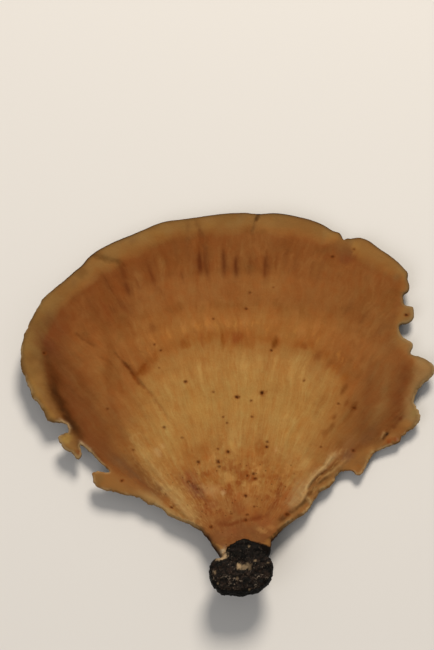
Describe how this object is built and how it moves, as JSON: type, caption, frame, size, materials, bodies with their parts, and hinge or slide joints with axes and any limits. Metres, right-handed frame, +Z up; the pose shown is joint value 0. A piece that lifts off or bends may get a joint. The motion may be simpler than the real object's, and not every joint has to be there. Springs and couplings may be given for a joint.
{
  "type": "bracket fungus",
  "caption": "Dried fan-shaped bracket fungus with a thin, torn and upcurled cap and a short black side stem, lying pore side up.",
  "frame": {"origin": "on the surface it lies on, below the middle of its outline in plan", "axes": "+Z up, out of the pore side; +Y the way the cap grew, away from its stem; +X to the right when seen from above with the stem nearest"},
  "size_m": [0.1274, 0.125, 0.015],
  "materials": {
    "cap": "matte",
    "stem": "matte"
  },
  "bodies": {
    "root": {"cap": "cap", "stem": "stem"}
  },
  "joints": []
}
